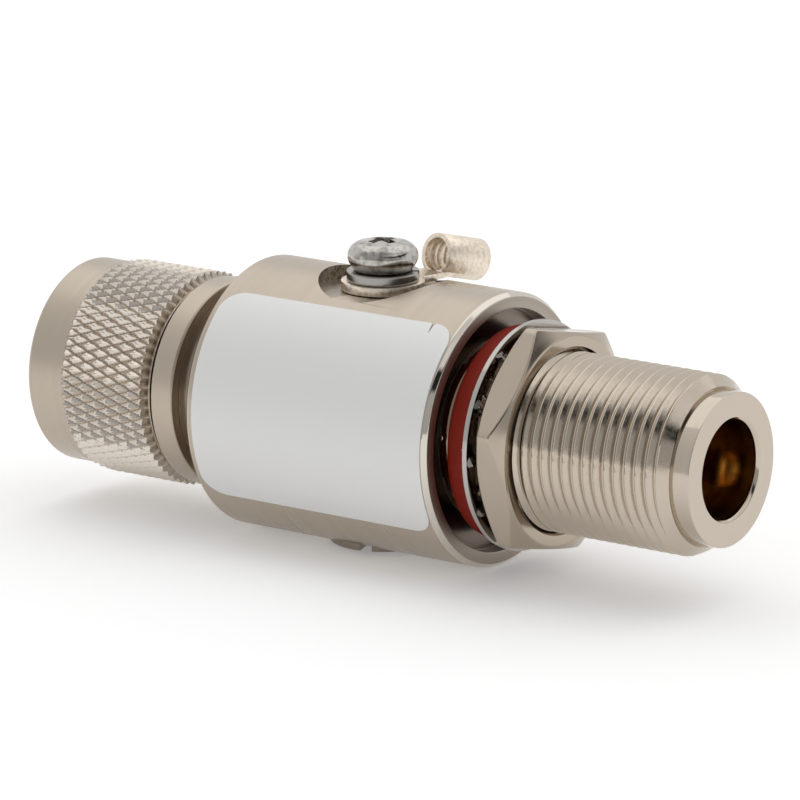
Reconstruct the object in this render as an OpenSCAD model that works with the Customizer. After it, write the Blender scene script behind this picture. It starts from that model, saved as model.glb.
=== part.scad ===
// Coax lightning arrestor with a plug at one end and a bulkhead socket at the other.
// Millimetres. +X runs along the line toward the socket, +Z toward the ground screw.
// The origin is the centre of the housing's right end face, where a panel seats.

/* [Housing] */
// Radius of the plain cylinder
body_r = 12.2; // [12:0.1:13.2]
// Length of the plain cylinder
body_len = 26.1; // [25.6:0.1:30]
// Bevel on both edges of the cylinder
body_bevel = 0.38; // [0.2:0.02:0.5]
// Radius of the recess in the panel face
recess_r = 10.8; // [10.4:0.1:11.2]
// Depth of the recess in the panel face
recess_depth = 1.3; // [0.9:0.1:1.5]
// Distance from the panel face back to the screw and the gas tube
tap_back = 13.2; // [12.4:0.1:14]

/* [Threaded nose] */
// Outer radius of the thread
thread_r = 7.94; // [7.8:0.01:8.2]
// Distance from one turn of the thread to the next
thread_pitch = 1.058; // [1:0.001:1.2]
// Depth of the thread's grooves
thread_depth = 0.6; // [0.4:0.02:0.64]
// Distance from the panel face to the end of the thread
thread_len = 20.65; // [19:0.05:21]
// Length of the cone that leads into the thread
lead_len = 0.95; // [0.6:0.05:1.2]
// Radius at the small end of that cone
lead_r = 6.95; // [6.8:0.05:7.2]
// Radius of the neck behind the front lip
nose_neck_r = 6.5; // [6.2:0.05:6.7]
// Radius of the front lip
lip_r = 6.75; // [6.75:0.05:7]
// Length of the front lip
lip_len = 0.6; // [0.4:0.1:0.8]
// Distance from the panel face to the end of the nose
nose_len = 23.4; // [23:0.1:25]

/* [Socket] */
// Radius of the mouth
mouth_r = 4.35; // [4.25:0.05:4.6]
// Depth of the mouth
mouth_len = 4.3; // [3.8:0.1:4.6]
// Chamfer on the mouth's edge
mouth_bevel = 0.25; // [0.1:0.05:0.4]
// Radius of the socket behind its mouth
socket_r = 4.16; // [3.9:0.02:4.2]
// Depth of the socket's floor behind the nose's end
socket_depth = 14.4; // [13:0.1:16]
// Length of the insulator on the socket's floor
socket_bead_len = 3; // [2:0.1:4]
// Outer radius of the spring contact
contact_r = 1.5; // [1.3:0.05:1.7]
// Radius of the hole in the contact
contact_hole_r = 0.85; // [0.75:0.05:1]
// Depth of that hole
contact_hole_len = 5.8; // [5:0.1:6]
// Distance of the contact's tip behind the nose's end
contact_recess = 4.7; // [4:0.1:5.2]
// Width of the slots between the contact's fingers
finger_slot = 0.28; // [0.2:0.02:0.3]
// Length of those slots
finger_len = 5; // [3:0.1:6]

/* [Line inside] */
// Radius of the bore through the housing
line_r = 3.5; // [3.3:0.05:3.6]
// Radius of the rod in that bore
rod_r = 1.52; // [1.45:0.01:1.6]
// Radius of the thicker rod in the plug shell
plug_rod_r = 1.87; // [1.7:0.01:2]
// Radius of the studs that screw into the rod's ends
stud_r = 0.9; // [0.8:0.05:1]
// Length of those studs inside the rod
stud_len = 4; // [3:0.1:5]
// Distance from the rod's axis to its flat under the gas tube
rod_flat = 1.25; // [1.1:0.05:1.35]

/* [Plug shell] */
// Radius of the spigot in the housing
spigot_r = 6.98; // [6.8:0.02:7.2]
// Length of that spigot
spigot_len = 6; // [5:0.1:6.5]
// Radius of the neck beside the housing
shell_neck_r = 8.35; // [8.2:0.05:8.8]
// Length of the neck
shell_neck_len = 3.55; // [2.5:0.05:5]
// Radius of the collar
collar_r = 9.45; // [9.2:0.05:9.8]
// Length of the collar
collar_len = 2.4; // [2:0.1:4]
// Bevel on the collar's edges
collar_bevel = 0.15; // [0.1:0.05:0.3]
// Radius of the journal that the coupling nut turns on
journal_r = 7; // [6.9:0.05:7.1]
// Length of the journal left of its ring groove
journal_tail = 1.4; // [1:0.1:2]
// Depth of the ring groove
groove_depth = 0.6; // [0.5:0.05:0.8]
// Radius of the face that carries the plug's gasket
seat_r = 6.5; // [6.3:0.05:6.7]
// Length of the part of that radius
seat_len = 2.5; // [2:0.1:3]
// Outer radius of the ferrule
ferrule_r = 4; // [3.95:0.01:4.05]
// Length of the ferrule
ferrule_len = 4.6; // [4:0.1:4.8]
// Radius of the bore that holds the plug's insulator
bead_bore_r = 4.3; // [4.1:0.05:4.5]
// Wall between the gasket face and that bore
bead_web = 1; // [0.6:0.1:1.5]
// Length of the plug's insulator
plug_bead_len = 3; // [2:0.1:4]

/* [Plug pin and gasket] */
// Radius of the pin
pin_r = 0.83; // [0.75:0.01:0.9]
// Distance of the pin's tip behind the ferrule's end
pin_recess = 0.6; // [0.3:0.1:1.5]
// Radius of the pin's shoulder against the insulator
shoulder_r = 1.5; // [1.2:0.05:1.8]
// Length of that shoulder
shoulder_len = 0.6; // [0.4:0.1:1]
// Outer radius of the plug's gasket
plug_gasket_r = 6.3; // [5.8:0.05:6.5]
// Thickness of the plug's gasket
plug_gasket_t = 1.5; // [1:0.1:2]

/* [Coupling nut] */
// Length of the nut
nut_len = 13.88; // [13.6:0.01:15]
// Radius of its plain front ring
nut_ring_r = 9.35; // [9.2:0.01:9.4]
// Bevel on the front ring
nut_ring_bevel = 0.3; // [0.1:0.05:0.5]
// Radius of the nut's rear end
nut_rear_r = 9.1; // [9:0.01:9.2]
// Radius at the knurl's peaks
knurl_r = 9.8; // [9.7:0.01:10]
// Depth of the knurl's grooves
knurl_depth = 0.38; // [0.25:0.01:0.38]
// Diamonds around the nut
knurl_count = 62; // [48:1:72]
// Rows of half diamonds along the nut
knurl_rows = 7; // [5:1:7]
// Length of a half diamond along the nut
knurl_step = 1.32; // [1:0.02:1.4]
// Length of the bevel behind the knurl
knurl_bevel = 0.55; // [0.4:0.01:0.7]
// Radius of the open mouth in front of the nut's thread
nut_mouth_r = 8.1; // [8:0.05:8.3]
// Depth of that mouth
nut_mouth_len = 2.6; // [2.2:0.1:2.8]
// Inner radius of the nut's thread
nut_thread_r = 7.4; // [7.3:0.05:7.6]
// Length of the nut's thread
nut_thread_len = 5.2; // [4:0.1:5.6]
// Length of the lip that turns on the journal
nut_lip_len = 2; // [1.5:0.1:2.2]
// Gap between the nut and the shell's collar
nut_play = 0.4; // [0.2:0.05:0.8]

/* [Snap ring] */
// Thickness of the ring
ring_t = 0.5; // [0.4:0.05:0.7]
// Distance that the ring stands out of its groove
ring_proud = 0.75; // [0.5:0.05:0.85]
// Width of the opening in the ring
ring_gap = 2.5; // [1.5:0.1:4]

/* [Panel hardware] */
// Outer radius of the panel gasket
gasket_r = 9.44; // [9.2:0.02:10.2]
// Thickness of the panel gasket
gasket_t = 1.7; // [1.2:0.05:2.5]
// Distance of the gasket from the panel face
gasket_stand = 0.39; // [0.1:0.01:1]
// Radius of the hole in the gasket and in the nut beyond the thread's radius
hardware_play = 0.08; // [0.05:0.01:0.15]
// Outer radius of the lock washer
washer_r = 10.2; // [9.9:0.05:10.8]
// Width of its rim
washer_rim = 0.9; // [0.7:0.05:1.1]
// Thickness of its sheet
washer_t = 0.45; // [0.3:0.05:0.6]
// Teeth around the washer
tooth_count = 12; // [8:1:14]
// Width of a tooth
tooth_w = 1.7; // [1.4:0.05:2]
// Distance of a tooth's tip from the thread
tooth_play = 0.2; // [0.15:0.05:0.4]
// Twist of a tooth out of the washer's plane
tooth_twist = 28; // [15:1:35]
// Hex nut's width across its flats
hex_flats = 19.05; // [18.8:0.05:20]
// Thickness of the hex nut
hex_t = 3; // [2.5:0.05:3.5]
// Radius of the flat ring on the hex nut's faces
hex_face_r = 9.3; // [9.1:0.05:9.35]
// Angle of the first corner from -Y toward +Z
hex_turn = 12; // [0:1:59]
// Chamfer at both ends of the nut's bore
hex_bevel = 0.3; // [0.1:0.05:0.6]

/* [Ground screw] */
// Radius of the shank
screw_r = 1.5; // [1.4:0.05:1.6]
// Length of the shank below the head
screw_len = 6.2; // [5.4:0.1:6.4]
// Largest radius of the head
head_r = 3.14; // [3:0.02:3.4]
// Radius of the head's underside
head_foot_r = 2.6; // [2.4:0.02:2.9]
// Height of the head's rounded rim
head_h = 2.5; // [2:0.05:3]
// Height of the dome above the rim
dome_h = 0.25; // [0.1:0.05:0.5]
// Length of the cross recess
cross_span = 3.4; // [2.8:0.1:3.6]
// Width of the cross recess
cross_w = 1; // [0.7:0.05:1.2]
// Depth of the cross recess
cross_depth = 1.3; // [0.8:0.1:1.5]
// Turn of the cross recess from +X
cross_turn = -17; // [-45:1:45]
// Radius of the flat pocket around the screw
spot_r = 5.7; // [5.6:0.05:6.2]
// Depth of that pocket below the housing's top
spot_depth = 1.3; // [1.1:0.05:1.5]
// Depth of the screw's hole below the pocket
hole_depth = 5.3; // [5.2:0.05:5.5]

/* [Spring washer] */
// Outer radius of the split washer
split_r = 3.22; // [3:0.02:3.4]
// Thickness of the split washer
split_h = 0.85; // [0.6:0.05:1]
// Width of its split
split_gap = 0.4; // [0.2:0.05:0.8]
// Turn of its split from +X
split_turn = 30; // [-180:1:180]
// Lean of its split
split_lean = 25; // [0:1:30]

/* [Ground lug] */
// Radius of the lug's ring
lug_r = 3.7; // [3.4:0.05:4]
// Thickness of the lug's sheet
lug_t = 0.75; // [0.6:0.05:0.9]
// Radius of the lug's hole
lug_hole_r = 1.7; // [1.68:0.02:2]
// Width of the tongue to the barrel
tongue_w = 2.8; // [2.4:0.1:3]
// Rise of the tongue toward the barrel
tongue_rise = 0.3; // [0.25:0.01:0.5]
// Outer radius of the barrel
barrel_r = 1.9; // [1.8:0.05:2.1]
// Wall of the barrel
barrel_wall = 0.42; // [0.35:0.01:0.6]
// Length of the barrel
barrel_len = 4.9; // [4:0.1:5.5]
// Distance from the screw to the barrel's open end
barrel_out = 6.3; // [6:0.1:7]
// Dip of the barrel's far end
barrel_dip = 14; // [5:1:15]
// Turn of the lug from +X
lug_turn = 77; // [74:1:106]

/* [Gas tube and cap] */
// Radius of the tube's ceramic
tube_r = 4; // [3.8:0.05:4.05]
// Wall of the ceramic
ceramic_wall = 1; // [0.8:0.05:1.2]
// Length of the whole tube
tube_len = 6; // [5.6:0.1:6.4]
// Radius of the electrodes' outer discs
electrode_r = 3.7; // [3.4:0.05:3.8]
// Thickness of those discs
electrode_t = 0.8; // [0.6:0.05:1]
// Radius of the electrodes' inner bosses
boss_r = 2.2; // [1.8:0.05:2.6]
// Gap between the two bosses
spark_gap = 1; // [0.6:0.05:1.5]
// Thickness of the disc spring
spring_t = 0.35; // [0.25:0.05:0.5]
// Height of the disc spring's cone
spring_rise = 0.45; // [0.3:0.05:0.6]
// Radius of the disc spring's hole
spring_hole_r = 2.1; // [1.8:0.05:2.5]
// Radius of the cap's rim
cap_r = 4.75; // [4.7:0.05:5]
// Thickness of the cap's rim
cap_t = 1.25; // [1:0.05:1.4]
// Distance of the cap's face inside the housing's radius
cap_inset = 0.33; // [0.2:0.01:0.5]
// Width of the cap's slot
cap_slot_w = 1.1; // [0.8:0.05:1.4]
// Depth of the cap's slot
cap_slot_depth = 0.8; // [0.5:0.05:1]
// Turn of the cap's slot from +X
cap_slot_turn = -73; // [-90:1:90]
// Radius of the seal's section
seal_r = 0.26; // [0.2:0.01:0.28]

/* [Label] */
// Thickness of the label
label_t = 0.08; // [0.05:0.01:0.15]
// Distance of the label from the panel face
label_right = 0.45; // [0.4:0.05:1]
// Distance of the label from the housing's left edge
label_left = 0.9; // [0.5:0.05:2]
// Lower edge, as an angle from -Y toward +Z
label_angle_low = -36.3; // [-60:0.1:-20]
// Upper edge, as an angle from -Y toward +Z
label_angle_high = 58; // [30:1:60]
// Radius of the corners
label_corner = 2.2; // [1:0.1:3]
// Width of the nick in the upper edge
nick_w = 0.7; // [0.3:0.1:1]
// Depth of the nick
nick_depth = 1.2; // [0.5:0.1:1.5]

/* [Clearances] */
// Gap around pieces that are pressed or screwed together
fit_gap = 0.03; // [0.02:0.01:0.05]
// Gap between faces that seat on each other
seat_gap = 0.02; // [0.01:0.01:0.04]
// Gap around pieces that turn
run_gap = 0.08; // [0.06:0.01:0.1]
// Gap between the loose pieces of a stack
stack_gap = 0.05; // [0.04:0.01:0.08]

/* [Hidden] */
$fn = 96;

// How far a cutter passes the face that it opens
cut = 1;
// Steps in a rounded corner
arc_steps = 8;
// Angles at which the screw head's round rim meets its cone below and its dome above
foot_end = -35;
rim_end = 80;

// Colours
nickel = [0.74, 0.71, 0.66];
bright_steel = [0.8, 0.79, 0.77];
tin = [0.84, 0.79, 0.68];
gold = [0.86, 0.66, 0.3];
silicone_red = [0.62, 0.12, 0.09];
insulator_white = [0.93, 0.92, 0.9];
ceramic_white = [0.95, 0.94, 0.91];
copper_alloy = [0.72, 0.5, 0.33];
spring_steel = [0.5, 0.5, 0.5];
rubber_black = [0.08, 0.08, 0.08];
label_silver = [0.85, 0.84, 0.83];

// Places along the line, from the socket to the plug
lead_end = thread_len + lead_len;
lip_start = nose_len - lip_len;
mouth_floor = nose_len - mouth_len;
socket_floor = nose_len - socket_depth;
tap_x = -tap_back;
spigot_floor = spigot_len - body_len;
neck_end = -body_len - shell_neck_len;
collar_end = neck_end - collar_len;
nut_rear = collar_end - nut_play;
lip_face = nut_rear - nut_lip_len;
ring_right = lip_face - stack_gap;
ring_left = ring_right - ring_t;
groove_right = ring_right + seat_gap;
groove_left = ring_left - seat_gap;
journal_end = groove_left - journal_tail;
shell_front = journal_end - seat_len;
bead_left = shell_front + bead_web;
bead_right = bead_left + plug_bead_len + 2 * seat_gap;
ferrule_end = shell_front - ferrule_len;
pin_tip = ferrule_end + pin_recess;
nut_front = nut_rear - nut_len;

// Thread on the nose
crest_w = thread_pitch / 7;
root_w = thread_pitch / 10;
groove_w = thread_pitch - crest_w;
groove_count = floor((thread_len + recess_depth - crest_w) / thread_pitch);

// Coupling nut
knurl_right = nut_rear - knurl_bevel;
knurl_left = knurl_right - knurl_rows * knurl_step;
nut_mouth_floor = nut_front + nut_mouth_len;
nut_thread_end = nut_mouth_floor + nut_thread_len;
nut_bore_r = journal_r + run_gap;
groove_r = journal_r - groove_depth;
ring_r = journal_r + ring_proud;
nut_relief_r = ring_r + 4 * run_gap;
sleeve_r = (nut_relief_r + nut_rear_r) / 2;
rear_bevel = 0.1;

// Socket contact
contact_base = socket_floor + socket_bead_len + 2 * seat_gap;
contact_tip = nose_len - contact_recess;

// Panel hardware
gasket_end = gasket_stand + gasket_t;
tooth_half = tooth_w / 2 * sin(tooth_twist) + washer_t / 2 * cos(tooth_twist);
washer_mid = gasket_end + 2 * stack_gap + tooth_half;
tooth_r = thread_r + tooth_play;
hex_rear = washer_mid + tooth_half + 2 * stack_gap;
hex_front = hex_rear + hex_t;
hex_corner_r = hex_flats / 2 / cos(30);

// Ground screw, from the pocket up
spot_floor = body_r - spot_depth;
lug_low = spot_floor + 2 * stack_gap;
lug_top = lug_low + lug_t;
split_low = lug_top + stack_gap;
head_low = split_low + split_h + stack_gap;
head_round = head_h / 2;

// Gas tube, from the rod down
tube_top = -rod_flat - seat_gap;
tube_low = tube_top - tube_len;
ceramic_len = tube_len - 2 * electrode_t - 2 * seat_gap;
boss_len = (tube_len - spark_gap) / 2;
spring_top = tube_low - seat_gap;
spring_low = spring_top - spring_rise - spring_t;
cap_top = spring_low - seat_gap;
cap_face = cap_inset - body_r;
cap_rim_top = cap_face + cap_t;
cap_ledge = cap_rim_top + 2 * seal_r + 2 * stack_gap;
well_r = tube_r + 2 * run_gap;
cap_hole_r = cap_r + run_gap;
seal_ring_r = (well_r + cap_hole_r) / 2;

// Points on an arc from angle a0 to angle a1
function arc(cx, cy, r, a0, a1, steps = arc_steps) =
    [for (i = [0:steps]) let (a = a0 + (a1 - a0) * i / steps) [cx + r * cos(a), cy + r * sin(a)]];

// Turned piece around the line, from points of radius and place
module turned(profile) {
    rotate([0, 90, 0]) rotate_extrude() polygon(profile);
}

// Round bar on the line
module bar(r, from, to) {
    translate([from, 0, 0]) rotate([0, 90, 0]) cylinder(r = r, h = to - from);
}

// Ring on the line
module ring(r_in, r_out, from, to) {
    turned([[r_in, from], [r_out, from], [r_out, to], [r_in, to]]);
}

// Round bar on the axis of the screw and the gas tube
module post(r, from, to) {
    translate([tap_x, 0, from]) cylinder(r = r, h = to - from);
}

// Turned piece around that axis
module turned_post(profile) {
    translate([tap_x, 0, 0]) rotate_extrude() polygon(profile);
}

// Points of the nose's thread, as V grooves one pitch apart up to the lead cone
function thread_grooves() = [
    for (i = [1:groove_count])
        let (x = thread_len - crest_w / 2 - (groove_count - i + 0.5) * thread_pitch)
        each [
            [thread_r, x - groove_w / 2],
            [thread_r - thread_depth, x - root_w / 2],
            [thread_r - thread_depth, x + root_w / 2],
            [thread_r, x + groove_w / 2]
        ]
];

module body() {
    color(nickel) difference() {
        turned([
            [spigot_r + fit_gap, -body_len],
            [body_r - body_bevel, -body_len],
            [body_r, body_bevel - body_len],
            [body_r, -body_bevel],
            [body_r - body_bevel, 0],
            [recess_r, 0],
            [recess_r, -recess_depth],
            [thread_r, -recess_depth],
            each thread_grooves(),
            [thread_r, thread_len],
            [lead_r, lead_end],
            [nose_neck_r, lead_end],
            [nose_neck_r, lip_start],
            [lip_r, lip_start],
            [lip_r, nose_len],
            [mouth_r + mouth_bevel, nose_len],
            [mouth_r, nose_len - mouth_bevel],
            [mouth_r, mouth_floor],
            [socket_r, mouth_floor],
            [socket_r, socket_floor],
            [line_r, socket_floor],
            [line_r, spigot_floor],
            [spigot_r + fit_gap, spigot_floor]
        ]);
        post(spot_r, spot_floor, body_r + cut);
        post(screw_r + run_gap, spot_floor - hole_depth, spot_floor + cut);
        post(well_r, cap_ledge - cut, 0);
        post(cap_hole_r, -body_r - cut, cap_ledge);
    }
}

module male_shell() {
    color(nickel) turned([
        [bead_bore_r, spigot_floor - seat_gap],
        [spigot_r, spigot_floor - seat_gap],
        [spigot_r, -body_len - seat_gap],
        [shell_neck_r, -body_len - seat_gap],
        [shell_neck_r, neck_end],
        [collar_r - collar_bevel, neck_end],
        [collar_r, neck_end - collar_bevel],
        [collar_r, collar_end + collar_bevel],
        [collar_r - collar_bevel, collar_end],
        [journal_r, collar_end],
        [journal_r, groove_right],
        [groove_r, groove_right],
        [groove_r, groove_left],
        [journal_r, groove_left],
        [journal_r, journal_end],
        [seat_r, journal_end],
        [seat_r, shell_front],
        [ferrule_r, shell_front],
        [ferrule_r, ferrule_end + collar_bevel],
        [ferrule_r - collar_bevel, ferrule_end],
        [line_r, ferrule_end],
        [line_r, bead_left],
        [bead_bore_r, bead_left]
    ]);
}

// Knurled skin as one closed sleeve: peaks and groove crossings take turns around and along it
module knurl_sleeve() {
    columns = 2 * knurl_count;
    skin_end = nut_rear - 2 * rear_bevel;
    skin_end_r = nut_rear_r - rear_bevel;
    rows = concat(
        [[knurl_left, sleeve_r, 0]],
        [for (m = [0:knurl_rows]) [knurl_left + m * knurl_step, knurl_r, knurl_depth]],
        [[skin_end, skin_end_r, 0], [skin_end, sleeve_r, 0]]
    );
    row_count = len(rows);
    points = [
        for (m = [0:row_count - 1], k = [0:columns - 1])
            let (a = 360 * k / columns, r = rows[m][1] - ((k + m) % 2) * rows[m][2])
            [rows[m][0], r * cos(a), r * sin(a)]
    ];
    function at(m, k) = (m % row_count) * columns + k % columns;
    triangles = [
        for (m = [0:row_count - 1], k = [0:columns - 1])
            let (a = at(m, k), b = at(m, k + 1), c = at(m + 1, k + 1), d = at(m + 1, k))
            each (k + m) % 2 == 1 ? [[a, c, b], [a, d, c]] : [[a, d, b], [b, d, c]]
    ];
    polyhedron(points, triangles);
}

module coupling_nut() {
    color(nickel) union() {
        turned([
            [nut_mouth_r + nut_ring_bevel, nut_front],
            [nut_ring_r - nut_ring_bevel, nut_front],
            [nut_ring_r, nut_front + nut_ring_bevel],
            [nut_ring_r, knurl_right - knurl_step / 3],
            [nut_rear_r, knurl_right - knurl_step / 3],
            [nut_rear_r, nut_rear - rear_bevel],
            [nut_rear_r - rear_bevel, nut_rear],
            [nut_bore_r, nut_rear],
            [nut_bore_r, lip_face],
            [nut_relief_r, lip_face],
            [nut_relief_r, nut_thread_end],
            [nut_thread_r, nut_thread_end],
            [nut_thread_r, nut_mouth_floor],
            [nut_mouth_r, nut_mouth_floor],
            [nut_mouth_r, nut_front + nut_ring_bevel]
        ]);
        knurl_sleeve();
    }
}

module snap_ring() {
    color(spring_steel) difference() {
        ring(groove_r + seat_gap, ring_r, ring_left, ring_right);
        translate([ring_left - cut, -ring_gap / 2, 0]) cube([ring_t + 2 * cut, ring_gap, ring_r + cut]);
    }
}

module male_gasket() {
    color(silicone_red) ring(
        ferrule_r + run_gap, plug_gasket_r,
        shell_front - seat_gap - plug_gasket_t, shell_front - seat_gap
    );
}

module male_pin() {
    color(gold) turned([
        [0, pin_tip],
        [pin_r / 2, pin_tip],
        [pin_r, pin_tip + pin_r],
        [pin_r, bead_left - shoulder_len],
        [shoulder_r, bead_left - shoulder_len],
        [shoulder_r, bead_left],
        [stud_r, bead_left],
        [stud_r, bead_right + stud_len],
        [0, bead_right + stud_len]
    ]);
}

module male_bead() {
    color(insulator_white) ring(
        stud_r + fit_gap, bead_bore_r - fit_gap, bead_left + seat_gap, bead_right - seat_gap
    );
}

module centre_rod() {
    stud_hole_r = stud_r + fit_gap;
    color(copper_alloy) difference() {
        union() {
            bar(plug_rod_r, bead_right, spigot_floor);
            bar(rod_r, spigot_floor - cut, socket_floor);
        }
        bar(stud_hole_r, bead_right - cut, bead_right + stud_len + cut);
        bar(stud_hole_r, socket_floor - stud_len - cut, socket_floor + cut);
        translate([tap_x - well_r, -rod_r - cut, -rod_r - cut])
            cube([2 * well_r, 2 * (rod_r + cut), rod_r + cut - rod_flat]);
    }
}

module female_bead() {
    color(insulator_white) ring(
        stud_r + fit_gap, socket_r - fit_gap, socket_floor + seat_gap, contact_base - seat_gap
    );
}

module female_contact() {
    tip_bevel = (contact_r - contact_hole_r) / 3;
    color(gold) difference() {
        turned([
            [0, socket_floor - stud_len],
            [stud_r, socket_floor - stud_len],
            [stud_r, contact_base],
            [contact_r, contact_base],
            [contact_r, contact_tip - tip_bevel],
            [contact_r - tip_bevel, contact_tip],
            [contact_hole_r + tip_bevel, contact_tip],
            [contact_hole_r, contact_tip - tip_bevel],
            [contact_hole_r, contact_tip - contact_hole_len],
            [0, contact_tip - contact_hole_len]
        ]);
        for (turn = [0, 90])
            rotate([turn + 45, 0, 0])
                translate([contact_tip - finger_len, -finger_slot / 2, -contact_r - cut])
                    cube([finger_len + cut, finger_slot, 2 * (contact_r + cut)]);
    }
}

module panel_gasket() {
    color(silicone_red) ring(thread_r + hardware_play, gasket_r, gasket_stand, gasket_end);
}

module lock_washer() {
    rim_in = washer_r - washer_rim;
    color(bright_steel) union() {
        ring(rim_in, washer_r, washer_mid - washer_t / 2, washer_mid + washer_t / 2);
        for (i = [0:tooth_count - 1])
            rotate([360 * i / tooth_count, 0, 0]) translate([washer_mid, 0, tooth_r])
                rotate([0, 0, tooth_twist]) translate([-washer_t / 2, -tooth_w / 2, 0])
                    cube([washer_t, tooth_w, rim_in + washer_rim / 2 - tooth_r]);
    }
}

module hex_nut() {
    bore_r = thread_r + hardware_play;
    slope = (hex_corner_r + cut - hex_face_r) * tan(30);
    color(nickel) difference() {
        intersection() {
            translate([hex_rear, 0, 0]) rotate([0, 90, 0]) rotate([0, 0, -90 - hex_turn])
                cylinder(r = hex_corner_r, h = hex_t, $fn = 6);
            turned([
                [0, hex_rear],
                [hex_face_r, hex_rear],
                [hex_corner_r + cut, hex_rear + slope],
                [hex_corner_r + cut, hex_front - slope],
                [hex_face_r, hex_front],
                [0, hex_front]
            ]);
        }
        turned([
            [0, hex_rear - cut],
            [bore_r + hex_bevel + cut, hex_rear - cut],
            [bore_r, hex_rear + hex_bevel],
            [bore_r, hex_front - hex_bevel],
            [bore_r + hex_bevel + cut, hex_front + cut],
            [0, hex_front + cut]
        ]);
    }
}

module ground_screw() {
    rim_r = head_r - head_round;
    head_top = head_low + head_h + dome_h;
    color(bright_steel) difference() {
        turned_post(concat(
            [[0, head_low - screw_len], [screw_r, head_low - screw_len]],
            [[screw_r, head_low], [head_foot_r, head_low]],
            arc(rim_r, head_low + head_round, head_round, foot_end, rim_end, 2 * arc_steps),
            [[rim_r / 2, head_top - dome_h / 4], [0, head_top]]
        ));
        translate([tap_x, 0, head_top]) rotate([0, 0, cross_turn]) for (turn = [0, 90])
            rotate([0, 0, turn]) cube([cross_span, cross_w, 2 * cross_depth], center = true);
    }
}

module spring_washer() {
    color(bright_steel) difference() {
        turned_post([
            [screw_r + run_gap, split_low],
            [split_r, split_low],
            [split_r, split_low + split_h],
            [screw_r + run_gap, split_low + split_h]
        ]);
        translate([tap_x, 0, split_low + split_h / 2]) rotate([0, 0, split_turn]) rotate([split_lean, 0, 0])
            translate([0, -split_gap / 2, -split_h - cut])
                cube([split_r + cut, split_gap, 2 * (split_h + cut)]);
    }
}

module ground_lug() {
    bore_r = barrel_r - barrel_wall;
    end_low = lug_low + tongue_rise;
    mid_z = end_low + barrel_r * cos(barrel_dip);
    color(tin) translate([tap_x, 0, 0]) rotate([0, 0, lug_turn]) difference() {
        union() {
            translate([0, 0, lug_low]) cylinder(r = lug_r, h = lug_t);
            translate([0, tongue_w / 2, 0]) rotate([90, 0, 0]) linear_extrude(tongue_w) polygon([
                [lug_hole_r, lug_low],
                [lug_hole_r + cut, lug_low],
                [barrel_out + cut, end_low],
                [barrel_out + cut, end_low + barrel_wall],
                [lug_hole_r + cut, lug_top],
                [lug_hole_r, lug_top]
            ]);
            translate([barrel_out, 0, mid_z]) rotate([0, 90 + barrel_dip, 0])
                cylinder(r = barrel_r, h = barrel_len);
        }
        translate([0, 0, lug_low - cut]) cylinder(r = lug_hole_r, h = lug_t + 2 * cut);
        translate([barrel_out, 0, mid_z]) rotate([0, 90 + barrel_dip, 0])
            translate([0, 0, -cut]) cylinder(r = bore_r, h = barrel_len + 2 * cut);
    }
}

module gap_ceramic() {
    top = tube_top - electrode_t - seat_gap;
    color(ceramic_white) turned_post([
        [tube_r - ceramic_wall, top - ceramic_len],
        [tube_r, top - ceramic_len],
        [tube_r, top],
        [tube_r - ceramic_wall, top]
    ]);
}

// Electrode from its outer face, in the direction of its boss
module electrode(face, inward) {
    color(copper_alloy) turned_post([
        [0, face],
        [electrode_r, face],
        [electrode_r, face + inward * electrode_t],
        [boss_r, face + inward * electrode_t],
        [boss_r, face + inward * boss_len],
        [0, face + inward * boss_len]
    ]);
}

module gap_electrode_in() {
    electrode(tube_top, -1);
}

module gap_electrode_out() {
    electrode(tube_low, 1);
}

module disc_spring() {
    color(spring_steel) turned_post([
        [spring_hole_r, spring_top - spring_t],
        [electrode_r, spring_low],
        [electrode_r, spring_low + spring_t],
        [spring_hole_r, spring_top]
    ]);
}

module tube_cap() {
    shank_r = well_r - run_gap;
    color(nickel) difference() {
        turned_post([
            [0, cap_face],
            [cap_r, cap_face],
            [cap_r, cap_rim_top],
            [shank_r, cap_rim_top],
            [shank_r, cap_top],
            [0, cap_top]
        ]);
        translate([tap_x, 0, cap_face]) rotate([0, 0, cap_slot_turn])
            cube([2 * (cap_r + cut), cap_slot_w, 2 * cap_slot_depth], center = true);
    }
}

module cap_seal() {
    color(rubber_black) translate([tap_x, 0, cap_rim_top + stack_gap + seal_r])
        rotate_extrude() translate([seal_ring_r, 0]) circle(r = seal_r);
}

// Outline of the label laid flat, as places along the line and lengths around the housing
function label_flat(x0, x1, s0, s1, r) = concat(
    arc(x1 - r, s0 + r, r, -90, 0),
    arc(x1 - r, s1 - r, r, 0, 90),
    [[x1 - r - nick_w / 2, s1 - nick_depth], [x1 - r - nick_w, s1]],
    arc(x0 + r, s1 - r, r, 90, 180),
    arc(x0 + r, s0 + r, r, 180, 270)
);

module rating_label() {
    inner_r = body_r + seat_gap;
    mid = (label_angle_high + label_angle_low) / 2;
    half = inner_r * (label_angle_high - label_angle_low) / 2 * PI / 180;
    outline = label_flat(label_left - body_len, -label_right, -half, half, label_corner);
    color(label_silver) intersection() {
        ring(inner_r, inner_r + label_t, -body_len, 0);
        rotate([90 - mid, 0, 0]) linear_extrude(body_r + cut)
            polygon([for (p = outline) [p[0], inner_r * sin(p[1] / inner_r * 180 / PI)]]);
    }
}

body();
male_shell();
coupling_nut();
snap_ring();
male_gasket();
male_pin();
male_bead();
centre_rod();
female_bead();
female_contact();
panel_gasket();
lock_washer();
hex_nut();
ground_screw();
spring_washer();
ground_lug();
gap_ceramic();
gap_electrode_in();
gap_electrode_out();
disc_spring();
tube_cap();
cap_seal();
rating_label();
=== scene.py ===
"""Looks of the coax lightning arrestor: fine turned pieces, real threads and plated metals."""

import math

import bmesh
import bpy
from mathutils import Matrix, Vector


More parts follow.
